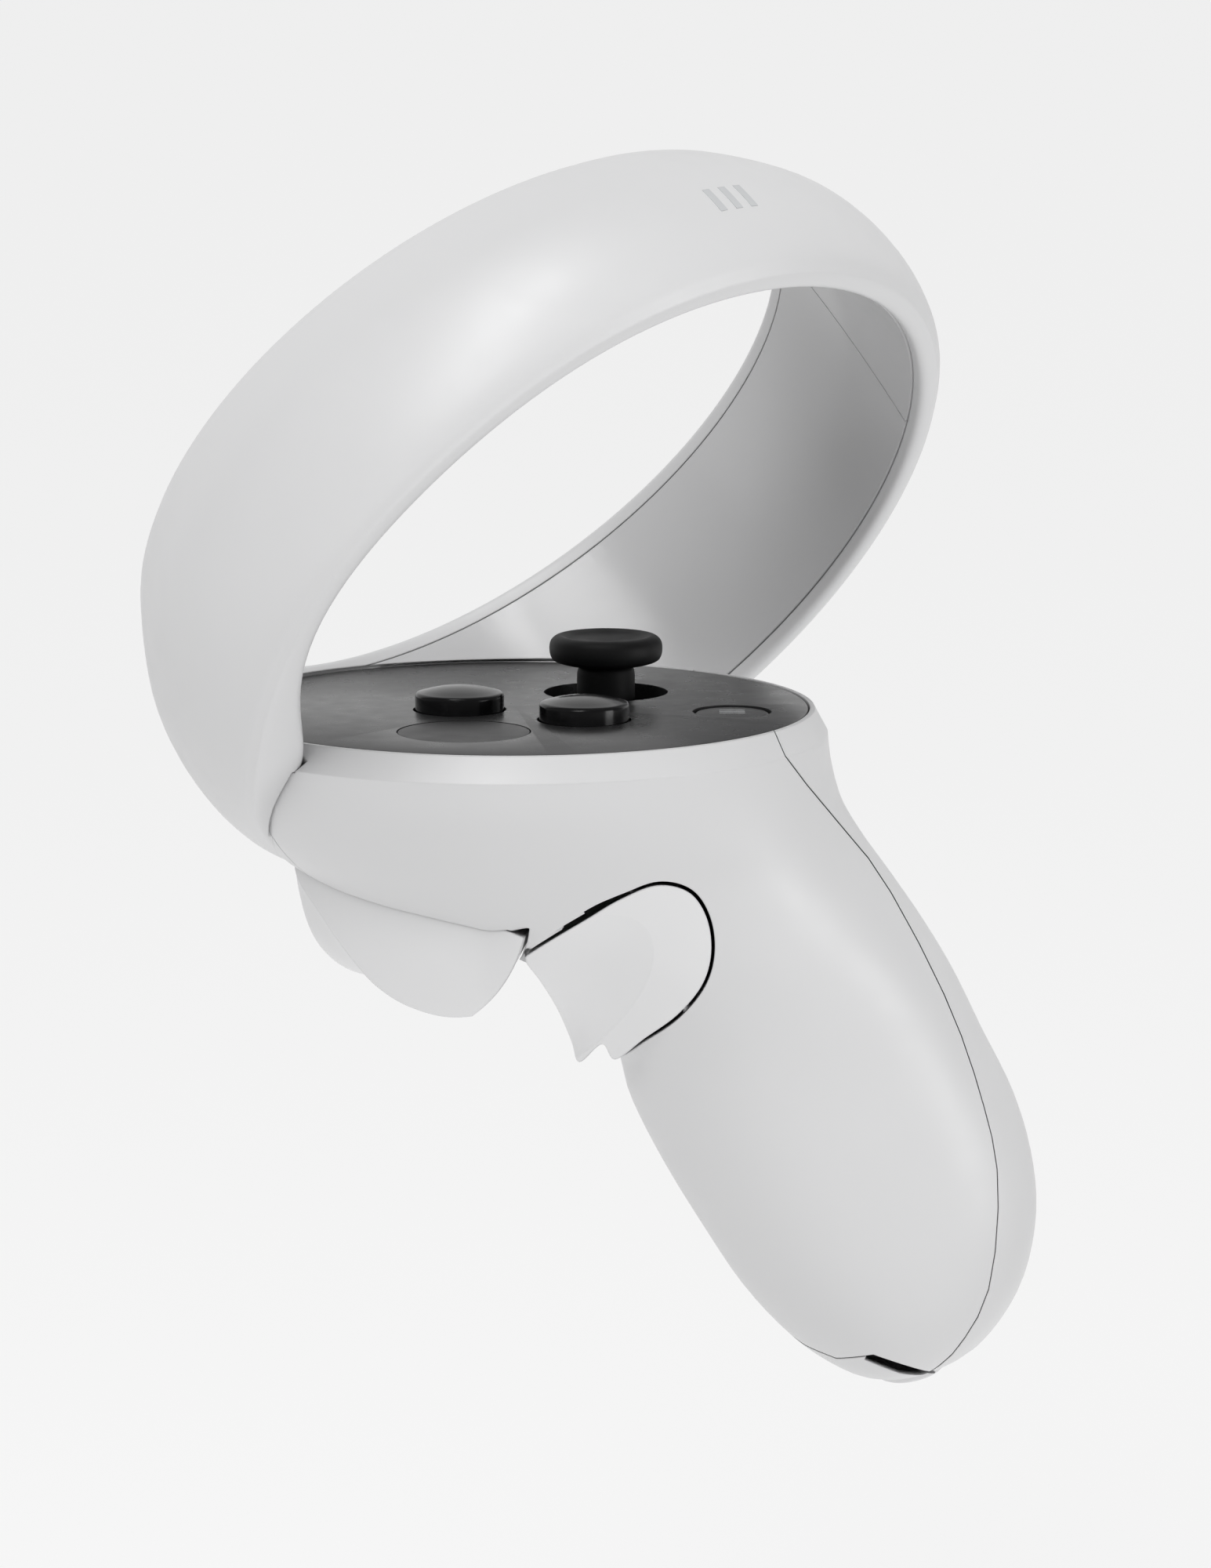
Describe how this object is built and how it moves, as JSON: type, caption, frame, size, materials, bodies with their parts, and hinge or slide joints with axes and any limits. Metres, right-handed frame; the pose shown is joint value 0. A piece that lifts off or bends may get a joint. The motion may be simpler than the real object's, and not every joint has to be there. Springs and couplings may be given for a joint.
{
  "type": "vr motion controller",
  "caption": "Right-hand VR motion controller with a slanted tracking ring, round control plate, thumbstick, trigger, grip button and battery handle.",
  "frame": {"origin": "centre of the round control plate's top face", "axes": "+Z square out of the control plate, +X back towards the wearer, -Y towards the inner side of the hand, where the body of the user is"},
  "size_m": [0.0875, 0.0781, 0.1232],
  "materials": {
    "white_plastic": "fine matte moulded light grey-white plastic",
    "ring_liner_plastic": "smooth satin light grey plastic",
    "key_plastic": "smooth matte white plastic",
    "plate_plastic": "fine textured dark grey plastic",
    "thumb_rest_plastic": "finer textured darker grey plastic",
    "black_plastic": "satin black plastic",
    "black_rubber": "soft black rubber",
    "grey_plastic": "moulded grey plastic",
    "steel": "bright steel",
    "circuit_board": "green solder mask",
    "dome_rubber": "translucent grey silicone",
    "cell_sleeve": null
  },
  "bodies": {
    "body": {"ring_outer_shell": "white_plastic", "ring_liner": "ring_liner_plastic", "ring_liner_end": "ring_liner_plastic", "ring_led_strip": "plate_plastic", "medial_shell": "white_plastic", "lateral_shell": "white_plastic", "faceplate": "plate_plastic", "thumb_rest": "thumb_rest_plastic", "dome_a": "dome_rubber", "dome_b": "dome_rubber", "dome_system": "dome_rubber", "stick_module": "steel", "main_board": "circuit_board", "board_screw_1": "steel", "board_screw_2": "steel", "board_screw_3": "steel", "inner_chassis": "grey_plastic", "trigger_pin": "steel", "trigger_spring": "steel", "grip_pin": "steel", "grip_spring": "steel", "haptic_motor": "steel", "aa_cell": "cell_sleeve", "battery_tray": "grey_plastic", "battery_contact": "steel", "battery_spring": "steel"},
    "stick_yoke": {"stick_gimbal": "grey_plastic"},
    "stick_block": {"stick_rocker": "grey_plastic"},
    "thumbstick": {"thumbstick_cap": "black_rubber", "thumbstick_stem": "black_rubber", "thumbstick_skirt": "black_rubber"},
    "key_a": {"button_a": "black_plastic"},
    "key_b": {"button_b": "black_plastic"},
    "key_system": {"system_button": "plate_plastic"},
    "trigger_lever": {"trigger": "key_plastic", "trigger_magnet": "steel"},
    "grip_lever": {"grip_button": "key_plastic", "grip_magnet": "steel"},
    "cover": {"battery_cover": "white_plastic"}
  },
  "joints": [
    {"name": "stick_tilt_side", "type": "hinge", "parent": "body", "child": "stick_yoke", "pos_m": [0.009, 0.0088, -0.009], "axis": [1, 0, 0], "range_deg": [-13, 13], "stiffness_Nm_per_rad": 0.03},
    {"name": "stick_tilt_fore", "type": "hinge", "parent": "stick_yoke", "child": "stick_block", "pos_m": [0.009, 0.0088, -0.009], "axis": [0, 1, 0], "range_deg": [-13, 13], "stiffness_Nm_per_rad": 0.03},
    {"name": "stick_click", "type": "slide", "parent": "stick_block", "child": "thumbstick", "axis": [0, 0, -1], "range_m": [0, 0.0005], "stiffness_N_per_m": 1500, "springref_m": -0.001},
    {"name": "press_a", "type": "slide", "parent": "body", "child": "key_a", "axis": [0, 0, -1], "range_m": [0, 0.0008], "stiffness_N_per_m": 500, "springref_m": -0.001, "deforming": ["dome_a"]},
    {"name": "press_b", "type": "slide", "parent": "body", "child": "key_b", "axis": [0, 0, -1], "range_m": [0, 0.0008], "stiffness_N_per_m": 500, "springref_m": -0.001, "deforming": ["dome_b"]},
    {"name": "press_system", "type": "slide", "parent": "body", "child": "key_system", "axis": [0, 0, -1], "range_m": [0, 0.0005], "stiffness_N_per_m": 500, "springref_m": -0.001, "deforming": ["dome_system"]},
    {"name": "trigger_pull", "type": "hinge", "parent": "body", "child": "trigger_lever", "pos_m": [-0.015, 0, -0.0148], "axis": [0, -1, 0], "range_deg": [0, 12], "stiffness_Nm_per_rad": 0.05, "springref_deg": -17.19},
    {"name": "grip_squeeze", "type": "hinge", "parent": "body", "child": "grip_lever", "pos_m": [0.0156, -0.0129, -0.0236], "axis": [0.3901, 0.1, -0.9153], "range_deg": [0, 8], "stiffness_Nm_per_rad": 0.05, "springref_deg": -17.19},
    {"name": "cover_slide", "type": "slide", "parent": "body", "child": "cover", "axis": [0.3998, 0, -0.9166], "range_m": [0, 0.055]}
  ]
}
